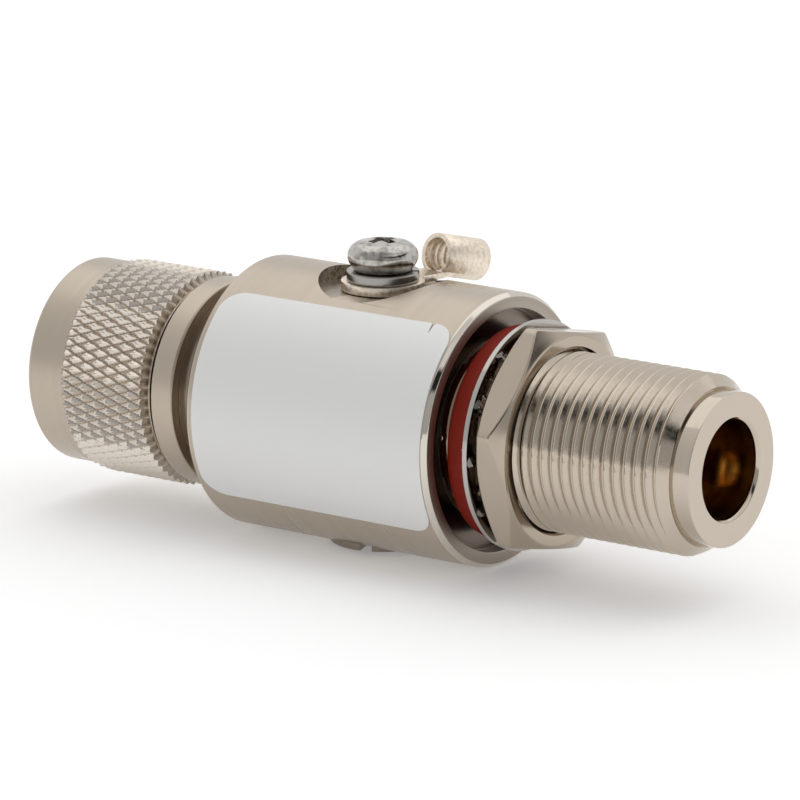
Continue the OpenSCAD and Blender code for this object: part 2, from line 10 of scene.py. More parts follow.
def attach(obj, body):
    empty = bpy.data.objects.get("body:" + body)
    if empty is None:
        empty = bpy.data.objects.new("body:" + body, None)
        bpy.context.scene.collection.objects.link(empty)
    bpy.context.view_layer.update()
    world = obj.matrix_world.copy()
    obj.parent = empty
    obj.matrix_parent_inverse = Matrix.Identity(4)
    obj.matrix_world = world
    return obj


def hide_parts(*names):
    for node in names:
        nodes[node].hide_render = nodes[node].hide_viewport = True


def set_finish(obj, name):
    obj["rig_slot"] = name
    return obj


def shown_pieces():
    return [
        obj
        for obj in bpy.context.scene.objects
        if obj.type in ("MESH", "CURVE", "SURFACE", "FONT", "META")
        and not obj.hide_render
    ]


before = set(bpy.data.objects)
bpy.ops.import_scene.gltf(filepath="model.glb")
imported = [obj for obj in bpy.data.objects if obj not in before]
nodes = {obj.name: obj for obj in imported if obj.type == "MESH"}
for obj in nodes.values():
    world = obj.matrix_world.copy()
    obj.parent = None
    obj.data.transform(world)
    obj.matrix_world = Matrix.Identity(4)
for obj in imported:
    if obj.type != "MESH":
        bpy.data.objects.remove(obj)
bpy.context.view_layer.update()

# Sizes are in millimetres, and places along the line are measured from the panel face
MM = 0.001
INCH = 25.4
TURN = 2 * math.pi
RIGHT_ANGLE = math.pi / 2

# Gaps between pieces, and how far a cutter reaches past what it cuts
FIT_GAP = 0.03
SEAT_GAP = 0.02
RUN_GAP = 0.08
STACK_GAP = 0.05
CUT = 1.0

# Fineness of round forms
COLUMNS = 192
HEX_COLUMNS = 240
TAP_COLUMNS = 128
LUG_COLUMNS = 96
SMALL_COLUMNS = 64

# Rounded corners: their size, how far the middle is pulled out, and where the point beside each lies
EDGE = 0.06
CORNER_PULL = 0.55
SIDE_POINT = 1.8
ON_AXIS = 1e-6
TOO_SMALL = 1e-4

# Points closer than this in metres are welded, and faces thinner than this are dissolved
WELD = 2e-7
SLIVER = 1e-7

# Housing
BODY_R = 12.2
BODY_LEN = 26.1
BODY_BEVEL = 0.38
RECESS_R = 10.8
RECESS_DEPTH = 1.3
LINE_R = 3.5

# Threaded nose and its socket
THREAD_R = 7.94
THREADS_PER_INCH = 24
THREAD_PITCH = INCH / THREADS_PER_INCH
THREAD_DEPTH = 0.5
THREAD_LEN = 20.65
THREAD_CLEAR = 0.2
LEAD_LEN = 0.95
LEAD_R = 6.95
LEAD_END = THREAD_LEN + LEAD_LEN
NOSE_LEN = 23.4
NOSE_NECK_R = 6.66
LIP_R = 6.75
LIP_LEN = 0.6
LIP_START = NOSE_LEN - LIP_LEN
MOUTH_R = 4.35
MOUTH_LEN = 4.3
MOUTH_BEVEL = 0.25
MOUTH_FLOOR = NOSE_LEN - MOUTH_LEN
SOCKET_R = 4.16
SOCKET_DEPTH = 14.4
SOCKET_FLOOR = NOSE_LEN - SOCKET_DEPTH

# Thread profile in shares of a pitch: its corners, and every place that gets a ring
CREST_END = 0.1
ROOT_START = 0.5
ROOT_END = 0.6
THREAD_STEPS = (0, 0.05, CREST_END, 0.17, 0.3, 0.45, ROOT_START, ROOT_END, 0.65, 0.83, 0.96)

# Scratch across the crests: its share of a turn, its depth and its half width in columns
SCRATCH_TURN = 0.985
SCRATCH_DEPTH = 0.07
SCRATCH_HALF = 0.6

# Plug shell, from the housing towards the plug's open end
SPIGOT_R = 6.98
SPIGOT_LEN = 6.0
SPIGOT_HOLE_R = SPIGOT_R + FIT_GAP
SPIGOT_FLOOR = SPIGOT_LEN - BODY_LEN
NECK_R = 8.35
NECK_LEN = 3.55
NECK_END = -BODY_LEN - NECK_LEN
COLLAR_R = 9.45
COLLAR_LEN = 2.4
COLLAR_BEVEL = 0.15
COLLAR_END = NECK_END - COLLAR_LEN
NUT_PLAY = 0.4
NUT_REAR = COLLAR_END - NUT_PLAY
NUT_LIP_LEN = 2.0
NUT_LIP_FACE = NUT_REAR - NUT_LIP_LEN
JOURNAL_R = 7.0
JOURNAL_TAIL = 1.4
SNAP_RING_T = 0.5
SNAP_RING_PROUD = 0.75
GROOVE_R = 6.4
GROOVE_RIGHT = NUT_LIP_FACE - STACK_GAP + SEAT_GAP
GROOVE_LEFT = GROOVE_RIGHT - SNAP_RING_T - 2 * SEAT_GAP
JOURNAL_END = GROOVE_LEFT - JOURNAL_TAIL
SEAT_R = 6.5
SEAT_LEN = 2.5
SHELL_FRONT = JOURNAL_END - SEAT_LEN
FERRULE_R = 4.0
FERRULE_LEN = 4.6
FERRULE_END = SHELL_FRONT - FERRULE_LEN
BEAD_BORE_R = 4.3
BEAD_WEB = 1.0
BEAD_LEFT = SHELL_FRONT + BEAD_WEB

# Coupling nut
NUT_LEN = 13.88
NUT_FRONT = NUT_REAR - NUT_LEN
NUT_RING_R = 9.35
NUT_RING_BEVEL = 0.3
NUT_REAR_R = 9.1
NUT_REAR_BEVEL = 0.1
NUT_MOUTH_R = 8.1
NUT_MOUTH_LEN = 2.6
NUT_MOUTH_FLOOR = NUT_FRONT + NUT_MOUTH_LEN
NUT_THREAD_R = 7.4
NUT_THREAD_DEPTH = 0.55
NUT_THREAD_LEN = 5.2
NUT_THREAD_END = NUT_MOUTH_FLOOR + NUT_THREAD_LEN
NUT_RELIEF_R = JOURNAL_R + SNAP_RING_PROUD + 4 * RUN_GAP
NUT_BORE_R = JOURNAL_R + RUN_GAP

# Diamond knurl: its sizes, its mesh per diamond and per row, and how worn its tops and its start are
KNURL_R = 9.8
KNURL_DEPTH = 0.35
KNURL_COUNT = 62
KNURL_ROWS = 7
KNURL_STEP = 1.32
KNURL_BEVEL = 0.55
KNURL_LEFT = NUT_REAR - KNURL_BEVEL - KNURL_ROWS * KNURL_STEP
PER_DIAMOND = 8
PER_ROW = 4
WORN_TOP = 1.2
KNURL_LEAD_IN = 0.12

# Panel gasket and hex nut on the nose
HARDWARE_HOLE_R = THREAD_R + RUN_GAP
GASKET_R = 9.44
GASKET_T = 1.7
GASKET_START = 0.39
GASKET_END = GASKET_START + GASKET_T
GASKET_ROUND = 0.22
HEX_SIDES = 6
HEX_FLATS = 19.05
HEX_T = 3.0
HEX_REAR = 3.486
HEX_FRONT = HEX_REAR + HEX_T
HEX_FACE_R = 9.3
HEX_BEVEL = 0.3
HEX_CHAMFER = math.radians(30)
HEX_TURN = math.radians(12)
HEX_CORNER_FLAT = 0.06
HEX_EDGE = 0.1

# Pocket in the top of the housing
TAP_X = -13.2
SPOT_R = 5.7
SPOT_DEPTH = 1.3
SPOT_FLOOR = BODY_R - SPOT_DEPTH
SCREW_R = 1.5
SCREW_HOLE_R = SCREW_R + RUN_GAP
SCREW_HOLE_DEPTH = 5.3
SCREW_HOLE_FLOOR = SPOT_FLOOR - SCREW_HOLE_DEPTH

# Ground lug on the pocket's floor
LUG_R = 3.7
LUG_T = 0.75
LUG_LOW = SPOT_FLOOR + 2 * STACK_GAP
LUG_TOP = LUG_LOW + LUG_T
LUG_HOLE_R = 1.7
LUG_TURN = math.radians(77)
LUG_EDGE = 0.1
TONGUE_W = 2.6
TONGUE_RISE = 0.3
TONGUE_ROOT = 1.0
TONGUE_LAP = 1.0
BARREL_R = 1.9
BARREL_WALL = 0.42
BARREL_LEN = 4.9
BARREL_OUT = 6.3
BARREL_DIP = math.radians(14)
SERRATION_COUNT = 4
SERRATION_STEP = 0.8
SERRATION_DEPTH = 0.13

# Split washer on the lug
SPLIT_R = 3.22
SPLIT_H = 0.85
SPLIT_LOW = LUG_TOP + STACK_GAP
SPLIT_TOP = SPLIT_LOW + SPLIT_H
SPLIT_GAP = 0.4
SPLIT_TURN = math.radians(30)
SPLIT_LEAN = math.radians(25)
SPLIT_EDGE = 0.1

# Ground screw on the washer
SCREW_LEN = 6.2
SCREW_PITCH = 0.5
SCREW_THREAD_DEPTH = 0.26
SCREW_TIP_LEN = 0.3
SCREW_PLAIN_R = 1.45
SCREW_PLAIN_LEN = 0.4
SCREW_RUNOUT = 0.1
HEAD_LOW = SPLIT_TOP + STACK_GAP
SCREW_LOW = HEAD_LOW - SCREW_LEN
HEAD_R = 3.14
HEAD_FOOT_R = 2.6
HEAD_H = 2.5
HEAD_ARC = (math.radians(-35), math.radians(80))
HEAD_STEPS = 24
DOME_H = 0.25
# Points of the dome as shares of the rim's radius and of the drop from the top
DOME_POINTS = ((0.75, 0.6), (0.5, 0.25), (0.25, 0.0625))
CROSS_SPAN = 3.4
CROSS_W = 1.0
CROSS_DEPTH = 1.3
CROSS_TURN = math.radians(-17)
# Shares of the cross's span and width that are left at its floor
CROSS_TAPER = (0.6, 0.7)

# Cap under the housing, in its well
CAP_R = 4.75
CAP_T = 1.25
CAP_INSET = 0.33
CAP_FACE = CAP_INSET - BODY_R
CAP_RIM_TOP = CAP_FACE + CAP_T
CAP_SHANK_LEN = 2.51
CAP_TOP = CAP_RIM_TOP + CAP_SHANK_LEN
SEAL_ROOM = 0.62
CAP_LEDGE = CAP_RIM_TOP + SEAL_ROOM
CAP_HOLE_R = CAP_R + RUN_GAP
WELL_R = 4.16
CAP_SHANK_R = WELL_R - RUN_GAP
CAP_SLOT_W = 1.1
CAP_SLOT_DEPTH = 0.8
CAP_SLOT_TURN = math.radians(-73)

# Label around the housing, with its mesh
LABEL_T = 0.08
LABEL_LEFT = -25.2
LABEL_RIGHT = -0.45
LABEL_LOW = math.radians(-36.3)
LABEL_HIGH = math.radians(58)
LABEL_CORNER = 2.2
LABEL_ROWS = 12
LABEL_STEPS = 72
CORNER_STEPS = 12
NICK_W = 0.7
NICK_DEPTH = 1.2

# Where looks change: on flat and upright faces, past the rim's bevel and on the knurl's tops
FLAT = 0.95
UPRIGHT = 0.1
RIM_REACH = 1.1 * BODY_BEVEL
KNURL_TOP_R = KNURL_R - 0.74 * KNURL_DEPTH

# Colours that several looks share
NICKEL = (0.49, 0.425, 0.348)
BRIGHT_NICKEL = (0.55, 0.482, 0.4)

# Noise: the range that is used, where mottling turns from dark to light, and heights of the relief
NOISE_RANGE = (0.3, 0.7)
MOTTLE = (0.35, 0.55)
RING_RELIEF = 0.01
GRAIN_RELIEF = 0.02
SOFT_SPECULAR = 0.25

# Camera at the photograph's angle
VIEW_AZIMUTH = math.radians(35.78)
VIEW_ELEVATION = math.radians(14.0)
TO_CAMERA = Vector((
    math.sin(VIEW_AZIMUTH) * math.cos(VIEW_ELEVATION),
    -math.cos(VIEW_AZIMUTH) * math.cos(VIEW_ELEVATION),
    math.sin(VIEW_ELEVATION),
))
CAMERA_DISTANCE = 502.6
CAMERA_LENS = 258.86
CAMERA_SENSOR = 36.0
CAMERA_NEAR = 10
CAMERA_FAR = 10000
AIM_RIGHT = -9.2
AIM_UP = 2.654

# Floor and lamp
FLOOR_GAP = 0.05
FLOOR_Z = -BODY_R - FLOOR_GAP
FLOOR_HALF = 1500
FLOOR_TONE = 0.95
FLOOR_ROUGHNESS = 0.9
FLOOR_GLOW = 0.24
LAMP_PLACE = Vector((-100, 250, 700))
LAMP_SIZE = (1200, 1000)
LAMP_POWER = 1.4

# Bands of the world on the nose's side, each a height as the sine of the elevation and a brightness
WORLD_BANDS = (
    (0, 0.75), (0.38, 0.8), (0.42, 0.04), (0.56, 0.04), (0.6, 1.4), (0.72, 1.3), (0.8, 0.75), (1.0, 0.8),
)
# Brightness elsewhere, and the stretch along X over which the bands fade into it
WORLD_PLAIN = 0.74
WORLD_SIDE = (0.76, 0.52)
# Strength of the world, and the stretch towards the camera over which it changes
WORLD_LEVEL = (1.16, 0.6)
WORLD_FADE = (0.0, 0.8)

# Sockets of a Mix node that mixes colours
MIX_FACTOR = 0
MIX_FIRST = 6
MIX_SECOND = 7
MIX_RESULT = 2


def soften(profile, radius=EDGE):
    """Rounds each corner of a closed outline a little, so that edges catch light.

    A point beside each rounded corner keeps the long faces evenly shaded.
    """
    out = []
    count = len(profile)
    for i, corner in enumerate(profile):
        here = Vector(corner)
        before = Vector(profile[i - 1]) - here
        after = Vector(profile[(i + 1) % count]) - here
        reach = min(radius, before.length / 4, after.length / 4)
        if here.x < ON_AXIS or reach < TOO_SMALL:
            out.append(tuple(here))
            continue
        before.normalize()
        after.normalize()
        a = here + before * reach
        b = here + after * reach
        mid = (a + b) / 2 * (1 - CORNER_PULL) + here * CORNER_PULL
        a_side = here + before * reach * SIDE_POINT
        b_side = here + after * reach * SIDE_POINT
        out += [tuple(a_side), tuple(a), tuple(mid), tuple(b), tuple(b_side)]
    return out


def along_x(r, turn, place):
    """Point at a radius, a right-hand turn about +X from -Y and a place on the line, in metres."""
    return (place * MM, -r * math.cos(turn) * MM, -r * math.sin(turn) * MM)


def along_z(r, turn, place):
    """Point around the upright axis through the origin, in metres."""
    return (r * math.cos(turn) * MM, r * math.sin(turn) * MM, place * MM)


def along_tap(r, turn, place):
    """Point around the axis of the screw and the gas tube, in metres."""
    return ((TAP_X + r * math.cos(turn)) * MM, r * math.sin(turn) * MM, place * MM)


def new_piece(name, verts, faces, smooth=30):
    """Mesh object with welded points, outward faces and edges that are sharp above an angle."""
    mesh = bpy.data.meshes.new(name)
    bm = bmesh.new()
    points = [bm.verts.new(v) for v in verts]
    for face in faces:
        if len(set(face)) == len(face):
            bm.faces.new([points[i] for i in face])
    bmesh.ops.remove_doubles(bm, verts=bm.verts, dist=WELD)
    bmesh.ops.dissolve_degenerate(bm, edges=bm.edges, dist=SLIVER)
    bmesh.ops.recalc_face_normals(bm, faces=bm.faces)
    bm.to_mesh(mesh)
    bm.free()
    obj = bpy.data.objects.new(name, mesh)
    bpy.context.scene.collection.objects.link(obj)
    shade(obj, smooth)
    return obj


def shade(obj, smooth=30):
    """Smooth shading with sharp edges above an angle in degrees."""
    mesh = obj.data
    mesh.polygons.foreach_set("use_smooth", [True] * len(mesh.polygons))
    mesh.set_sharp_from_angle(angle=math.radians(smooth))


def revolve(name, rings, columns, place, wrap=None, smooth=30, creased=False):
    """Closed skin through rings of (radius, place), each one pair or one pair per column.

    wrap gives the ring that each ring runs into after a full turn, for a helix.
    creased splits each face along its lower diagonal, for a knurl.
    """
    count = len(rings)
    wrap = wrap or list(range(count))
    verts = []
    radii = []
    for ring in rings:
        for c in range(columns):
            r, along = ring[c] if isinstance(ring, list) else ring
            verts.append(place(r, TURN * c / columns, along))
            radii.append(r)
    faces = []
    for i in range(count):
        j = (i + 1) % count
        for c in range(columns):
            a = i * columns + c
            e = j * columns + c
            if c + 1 < columns:
                b = a + 1
                d = e + 1
            else:
                b = wrap[i] * columns
                d = wrap[j] * columns
            if not creased:
                faces.append((a, b, d, e))
            elif radii[a] + radii[d] < radii[b] + radii[e]:
                faces += [(a, b, d), (a, d, e)]
            else:
                faces += [(a, b, e), (b, d, e)]
    return new_piece(name, verts, faces, smooth)


def thread_cut(phase):
    """Depth of a V thread from 0 on its crest to 1 at its root, at a share of its pitch."""
    if phase < CREST_END:
        return 0
    if phase < ROOT_START:
        return (phase - CREST_END) / (ROOT_START - CREST_END)
    if phase < ROOT_END:
        return 1
    return (1 - phase) / (1 - ROOT_END)


def thread_rings(start, end, crest_r, depth, pitch, columns, limit=None, inner=False, scratch=None):
    """Rings of a V thread between two places, with the rings that each one runs into after a turn.

    limit gives the largest radius at a place.
    scratch is the share of a turn at which a shallow scratch crosses the crests.
    """
    def radius(place, turn):
        cut = thread_cut(((place - start) / pitch - turn) % 1.0)
        r = crest_r + depth * cut if inner else crest_r - depth * cut
        if scratch is not None and abs(turn - scratch) < SCRATCH_HALF / columns:
            r = min(r, crest_r - SCRATCH_DEPTH)
        return min(r, limit(place)) if limit else r

    turns = math.ceil(abs(end - start) / pitch) + 1
    rings = []
    for k in range(turns):
        for step in THREAD_STEPS:
            ring = []
            for c in range(columns):
                turn = c / columns
                place = start + pitch * (k + step - 1 + turn)
                place = min(max(place, start), end)
                ring.append((radius(place, turn), place))
            rings.append(ring)
    final = len(rings)
    rings.append([(radius(end, c / columns), end) for c in range(columns)])
    wrap = [min(i + len(THREAD_STEPS), final) for i in range(len(rings))]
    return rings, wrap


def joined(*groups):
    """One list of rings and one list of wraps from plain profiles and (rings, wrap) pairs."""
    rings = []
    wrap = []
    for group in groups:
        first = len(rings)
        if isinstance(group, tuple):
            rings += group[0]
            wrap += [first + i for i in group[1]]
        else:
            rings += group
            wrap += list(range(first, first + len(group)))
    return rings, wrap


def cylinder(r, low, high):
    """Profile of a plain cylinder."""
    return [(0, low), (r, low), (r, high), (0, high)]


def stepped(first_r, first_end, step, last_r, last_end):
    """Profile of two cylinders that meet at a step."""
    return [
        (0, first_end),
        (first_r, first_end),
        (first_r, step),
        (last_r, step),
        (last_r, last_end),
        (0, last_end),
    ]


def rectangle(left, right, half):
    """Outline of a rectangle that lies evenly about the X axis."""
    return [(left, -half), (right, -half), (right, half), (left, half)]


def prism(name, outline, low, high):
    """Straight bar over an outline of points in millimetres, from one height to another."""
    count = len(outline)
    verts = [(x * MM, y * MM, z * MM) for z in (low, high) for x, y in outline]
    faces = [tuple(range(count)), tuple(range(count, 2 * count))]
    for i in range(count):
        j = (i + 1) % count
        faces.append((i, j, count + j, count + i))
    return new_piece(name, verts, faces)


def put(obj, matrix):
    """Moves a piece's points for good."""
    obj.data.transform(matrix)
    return obj


def at(x, y, z):
    """Move by millimetres."""
    return Matrix.Translation((x * MM, y * MM, z * MM))


def spun(angle, axis):
    """Turn by an angle about an axis."""
    return Matrix.Rotation(angle, 4, axis)


def settle(obj, smooth=30):
    """Makes a piece's modifier permanent."""
    graph = bpy.context.evaluated_depsgraph_get()
    mesh = bpy.data.meshes.new_from_object(obj.evaluated_get(graph))
    obj.modifiers.clear()
    obj.data = mesh
    shade(obj, smooth)


def carve(obj, tool, operation="DIFFERENCE", smooth=30):
    """Cuts a tool out of a piece, or joins it on, and removes the tool."""
    mod = obj.modifiers.new("cut", "BOOLEAN")
    mod.operation = operation
    mod.solver = "EXACT"
    mod.object = tool
    settle(obj, smooth)
    bpy.data.objects.remove(tool)


def round_edges(obj, width, angle=35):
    """Rounds a piece's sharp edges for good."""
    mod = obj.modifiers.new("round", "BEVEL")
    mod.width = width * MM
    mod.segments = 2
    mod.limit_method = "ANGLE"
    mod.angle_limit = math.radians(angle)
    settle(obj)


def stands_for(obj, node, body, slot):
    """Piece that takes a CAD node's place on its body."""
    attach(obj, body)
    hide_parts(node)
    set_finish(obj, slot)
    return obj


def lead_cone(place):
    """Radius left by the cone at the thread's open end."""
    if place < THREAD_LEN:
        return THREAD_R
    return THREAD_R + (LEAD_R - THREAD_R) * (place - THREAD_LEN) / LEAD_LEN


def make_housing():
    """Housing with its threaded nose, the pocket for the screw and the well for the gas tube."""
    barrel = soften([
        (SPIGOT_HOLE_R, -BODY_LEN),
        (BODY_R - BODY_BEVEL, -BODY_LEN),
        (BODY_R, BODY_BEVEL - BODY_LEN),
        (BODY_R, -BODY_BEVEL),
        (BODY_R - BODY_BEVEL, 0),
        (RECESS_R, 0),
        (RECESS_R, -RECESS_DEPTH),
        (THREAD_R + THREAD_CLEAR, -RECESS_DEPTH),
    ])
    thread = thread_rings(
        -RECESS_DEPTH, LEAD_END, THREAD_R, THREAD_DEPTH, THREAD_PITCH, COLUMNS,
        limit=lead_cone, scratch=SCRATCH_TURN,
    )
    inside = soften([
        (NOSE_NECK_R, LEAD_END),
        (NOSE_NECK_R, LIP_START),
        (LIP_R, LIP_START),
        (LIP_R, NOSE_LEN),
        (MOUTH_R + MOUTH_BEVEL, NOSE_LEN),
        (MOUTH_R, NOSE_LEN - MOUTH_BEVEL),
        (SOCKET_R, MOUTH_FLOOR),
        (SOCKET_R, SOCKET_FLOOR),
        (LINE_R, SOCKET_FLOOR),
        (LINE_R, SPIGOT_FLOOR),
        (SPIGOT_HOLE_R, SPIGOT_FLOOR),
    ])
    rings, wrap = joined(barrel, thread, inside)
    housing = revolve("housing", rings, COLUMNS, along_x, wrap)
    past = BODY_R + 2 * CUT
    pocket = stepped(SPOT_R, past, SPOT_FLOOR, SCREW_HOLE_R, SCREW_HOLE_FLOOR)
    carve(housing, revolve("pocket", pocket, TAP_COLUMNS, along_tap))
    well = stepped(WELL_R, 0, CAP_LEDGE, CAP_HOLE_R, -past)
    carve(housing, revolve("well", well, TAP_COLUMNS, along_tap))
    return stands_for(housing, "body", "base", "nickel")


def make_plug_shell():
    """Plug shell with its neck, collar, journal and ferrule."""
    shell = revolve("plug_shell", soften([
        (BEAD_BORE_R, SPIGOT_FLOOR - SEAT_GAP),
        (SPIGOT_R, SPIGOT_FLOOR - SEAT_GAP),
        (SPIGOT_R, -BODY_LEN - SEAT_GAP),
        (NECK_R, -BODY_LEN - SEAT_GAP),
        (NECK_R, NECK_END),
        (COLLAR_R - COLLAR_BEVEL, NECK_END),
        (COLLAR_R, NECK_END - COLLAR_BEVEL),
        (COLLAR_R, COLLAR_END + COLLAR_BEVEL),
        (COLLAR_R - COLLAR_BEVEL, COLLAR_END),
        (JOURNAL_R, COLLAR_END),
        (JOURNAL_R, GROOVE_RIGHT),
        (GROOVE_R, GROOVE_RIGHT),
        (GROOVE_R, GROOVE_LEFT),
        (JOURNAL_R, GROOVE_LEFT),
        (JOURNAL_R, JOURNAL_END),
        (SEAT_R, JOURNAL_END),
        (SEAT_R, SHELL_FRONT),
        (FERRULE_R, SHELL_FRONT),
        (FERRULE_R, FERRULE_END + COLLAR_BEVEL),
        (FERRULE_R - COLLAR_BEVEL, FERRULE_END),
        (LINE_R, FERRULE_END),
        (LINE_R, BEAD_LEFT),
        (BEAD_BORE_R, BEAD_LEFT),
    ]), COLUMNS, along_x)
    return stands_for(shell, "male_shell", "base", "nickel")


def diamond(column, row):
    """Height in the knurl from 0 in a groove to 1 on a diamond's top."""
    u = 2 * column / PER_DIAMOND
    v = row / PER_ROW
    du = u - math.floor(u)
    dv = v - math.floor(v)
    if (math.floor(u) + math.floor(v)) % 2:
        du = 1 - du
    return min(1, max(1 - du - dv, du + dv - 1) * WORN_TOP)


def make_plug_nut():
    """Coupling nut with its diamond knurl and its inner thread.

    The front and rear are open stretches, so the first points of their first corners are left out.
    """
    columns = KNURL_COUNT * PER_DIAMOND
    front_skip = 3
    front = soften([
        (NUT_MOUTH_R, NUT_MOUTH_FLOOR),
        (NUT_MOUTH_R, NUT_FRONT + NUT_RING_BEVEL),
        (NUT_MOUTH_R + NUT_RING_BEVEL, NUT_FRONT),
        (NUT_RING_R - NUT_RING_BEVEL, NUT_FRONT),
        (NUT_RING_R, NUT_FRONT + NUT_RING_BEVEL),
        (NUT_RING_R, KNURL_LEFT),
    ])[front_skip:]
    knurl = []
    for row in range(KNURL_ROWS * PER_ROW + 1):
        run = KNURL_STEP * row / PER_ROW
        ring = []
        for c in range(columns):
            r = KNURL_R - KNURL_DEPTH * (1 - diamond(c, row))
            ring.append((min(r, NUT_RING_R + KNURL_LEAD_IN + run), KNURL_LEFT + run))
        knurl.append(ring)
    rear_skip = 2
    rear = soften([
        (NUT_REAR_R - NUT_REAR_BEVEL, NUT_REAR - 2 * NUT_REAR_BEVEL),
        (NUT_REAR_R - NUT_REAR_BEVEL, NUT_REAR),
        (NUT_BORE_R, NUT_REAR),
        (NUT_BORE_R, NUT_LIP_FACE),
        (NUT_RELIEF_R, NUT_LIP_FACE),
        (NUT_RELIEF_R, NUT_THREAD_END),
    ])[rear_skip:]
    rings, wrap = thread_rings(
        NUT_MOUTH_FLOOR, NUT_THREAD_END, NUT_THREAD_R, NUT_THREAD_DEPTH, THREAD_PITCH, columns, inner=True
    )
    last = len(rings) - 1
    thread = (rings[::-1], [last - i for i in wrap[::-1]])
    rings, wrap = joined(front, knurl, rear, thread)
    nut = revolve("plug_nut_piece", rings, columns, along_x, wrap, smooth=24, creased=True)
    return stands_for(nut, "coupling_nut", "plug_nut", "nickel")


def make_gasket():
    """Red panel gasket with moulded edges."""
    gasket = revolve("gasket", soften([
        (HARDWARE_HOLE_R, GASKET_START),
        (GASKET_R, GASKET_START),
        (GASKET_R, GASKET_END),
        (HARDWARE_HOLE_R, GASKET_END),
    ], GASKET_ROUND), COLUMNS, along_x, smooth=60)
    return stands_for(gasket, "panel_gasket", "base", "silicone")


def make_panel_nut():
    """Hex nut with chamfered corners."""
    slope = math.tan(HEX_CHAMFER)
    side_turn = TURN / HEX_SIDES
    corner_r = HEX_FLATS / 2 / math.cos(side_turn / 2) - HEX_CORNER_FLAT

    def side(column):
        """Distance of the nut's side from the line."""
        turn = (-TURN * column / HEX_COLUMNS - HEX_TURN) % side_turn - side_turn / 2
        return min(HEX_FLATS / 2 / math.cos(turn), corner_r)

    def chamfer(pull, lift, end, inward):
        """Ring along the edge between the chamfer and the sides, pulled in and lifted off the edge."""
        ring = []
        for c in range(HEX_COLUMNS):
            r = side(c)
            ring.append((r - pull, end + inward * ((r - HEX_FACE_R) * slope + lift)))
        return ring

    rings = [
        (HARDWARE_HOLE_R, HEX_FRONT - HEX_BEVEL),
        (HARDWARE_HOLE_R, HEX_REAR + HEX_BEVEL),
        (HARDWARE_HOLE_R + HEX_BEVEL, HEX_REAR),
        (HEX_FACE_R - HEX_EDGE, HEX_REAR),
        (HEX_FACE_R + HEX_EDGE, HEX_REAR + HEX_EDGE * slope),
        chamfer(HEX_EDGE, -HEX_EDGE * slope, HEX_REAR, 1),
        chamfer(HEX_EDGE / 4, HEX_EDGE / 4, HEX_REAR, 1),
        chamfer(0, HEX_EDGE, HEX_REAR, 1),
        chamfer(0, HEX_EDGE, HEX_FRONT, -1),
        chamfer(HEX_EDGE / 4, HEX_EDGE / 4, HEX_FRONT, -1),
        chamfer(HEX_EDGE, -HEX_EDGE * slope, HEX_FRONT, -1),
        (HEX_FACE_R + HEX_EDGE, HEX_FRONT - HEX_EDGE * slope),
        (HEX_FACE_R - HEX_EDGE, HEX_FRONT),
        (HARDWARE_HOLE_R + HEX_BEVEL, HEX_FRONT),
    ]
    nut = revolve("panel_nut_piece", rings, HEX_COLUMNS, along_x, smooth=10)
    return stands_for(nut, "hex_nut", "panel_nut", "nickel")


def make_screw():
    """Pan-head ground screw with a tapered cross recess and a threaded shank."""
    tip = [(0, SCREW_LOW), (SCREW_R - SCREW_THREAD_DEPTH, SCREW_LOW)]
    plain_low = HEAD_LOW - SCREW_PLAIN_LEN
    shank = thread_rings(
        SCREW_LOW + SCREW_TIP_LEN, plain_low - SCREW_RUNOUT,
        SCREW_R, SCREW_THREAD_DEPTH, SCREW_PITCH, SMALL_COLUMNS,
    )
    plain = [(SCREW_PLAIN_R, plain_low), (SCREW_PLAIN_R, HEAD_LOW)]
    round_r = HEAD_H / 2
    rim_r = HEAD_R - round_r
    rim = [(HEAD_FOOT_R - EDGE, HEAD_LOW), (HEAD_FOOT_R + EDGE / 2, HEAD_LOW + EDGE)]
    foot_end, rim_end = HEAD_ARC
    for i in range(HEAD_STEPS + 1):
        a = foot_end + (rim_end - foot_end) * i / HEAD_STEPS
        rim.append((rim_r + round_r * math.cos(a), HEAD_LOW + round_r + round_r * math.sin(a)))
    top = HEAD_LOW + HEAD_H + DOME_H
    dome = [(rim_r * out, top - DOME_H * drop) for out, drop in DOME_POINTS]
    rings, wrap = joined(tip, shank, plain, rim, dome, [(0, top)])
    screw = revolve("screw_piece", rings, SMALL_COLUMNS, along_tap, wrap, smooth=35)
    span_left, width_left = CROSS_TAPER
    for turn in (0, RIGHT_ANGLE):
        wing = rectangle(-CROSS_SPAN / 2, CROSS_SPAN / 2, CROSS_W / 2)
        cutter = prism("wing", wing, -CROSS_DEPTH, CUT)
        for v in cutter.data.vertices:
            if v.co.z < 0:
                v.co.x *= span_left
                v.co.y *= width_left
        put(cutter, at(TAP_X, 0, top) @ spun(CROSS_TURN + turn, "Z"))
        carve(screw, cutter, smooth=35)
    return stands_for(screw, "ground_screw", "screw", "bright_steel")


def make_split_washer():
    """Split spring washer under the screw's head."""
    washer = revolve("split_washer_piece", soften([
        (SCREW_HOLE_R, SPLIT_LOW), (SPLIT_R, SPLIT_LOW), (SPLIT_R, SPLIT_TOP), (SCREW_HOLE_R, SPLIT_TOP),
    ], SPLIT_EDGE), TAP_COLUMNS, along_tap)
    cutter = prism("split", rectangle(0, SPLIT_R + CUT, SPLIT_GAP / 2), -2 * CUT, 2 * CUT)
    middle = (SPLIT_LOW + SPLIT_TOP) / 2
    put(cutter, at(TAP_X, 0, middle) @ spun(SPLIT_TURN, "Z") @ spun(SPLIT_LEAN, "X"))
    carve(washer, cutter)
    return stands_for(washer, "spring_washer", "split_washer", "bright_steel")


